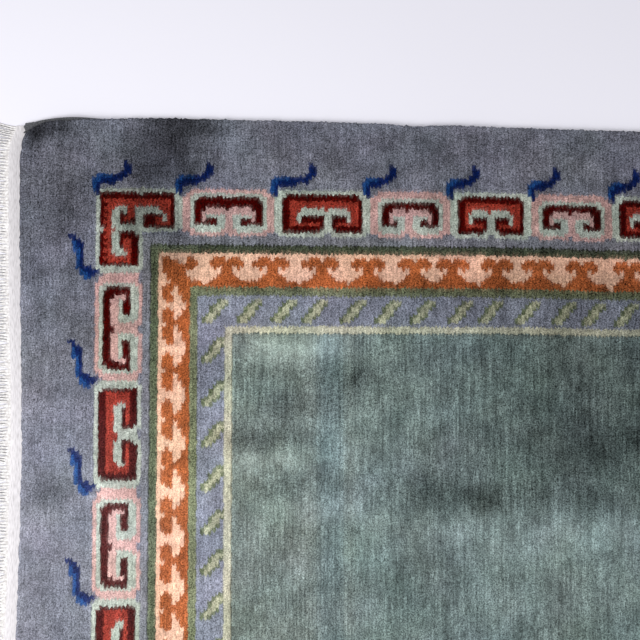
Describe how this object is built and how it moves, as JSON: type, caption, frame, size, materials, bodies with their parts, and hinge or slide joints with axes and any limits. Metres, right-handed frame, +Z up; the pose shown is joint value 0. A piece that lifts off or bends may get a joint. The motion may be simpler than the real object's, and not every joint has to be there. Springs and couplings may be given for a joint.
{
  "type": "tibetan rug",
  "caption": "Rectangular hand-knotted wool rug lying flat, with overcast long sides, flat-woven cotton ends and a fringe of warp ends at each short side.",
  "frame": {"origin": "middle of the rug's footprint, on the floor it lies on", "axes": "+X along the rug's length (the warp), +Y across it from selvedge to selvedge, +Z up, out of the pile"},
  "size_m": [1.8133, 0.871, 0.0146],
  "materials": {
    "wool_pile": "cut wool pile with a soft sheen, knotted in blue-grey, grey-teal, maroon, brick, mint, pink, orange, peach, green and lilac",
    "wool_foundation": "knot rows on a cotton foundation, seen from the back",
    "wool_overcast": "grey wool yarn wrapped over the edge warps, matt",
    "cotton_warp": "undyed cotton, flat woven, with plied warp ends left as fringe, matt"
  },
  "bodies": {
    "root": {"rug_body": "wool_pile", "selvedge_back": "wool_overcast", "selvedge_front": "wool_overcast", "fringed_end_left": "cotton_warp", "fringed_end_right": "cotton_warp"}
  },
  "joints": []
}
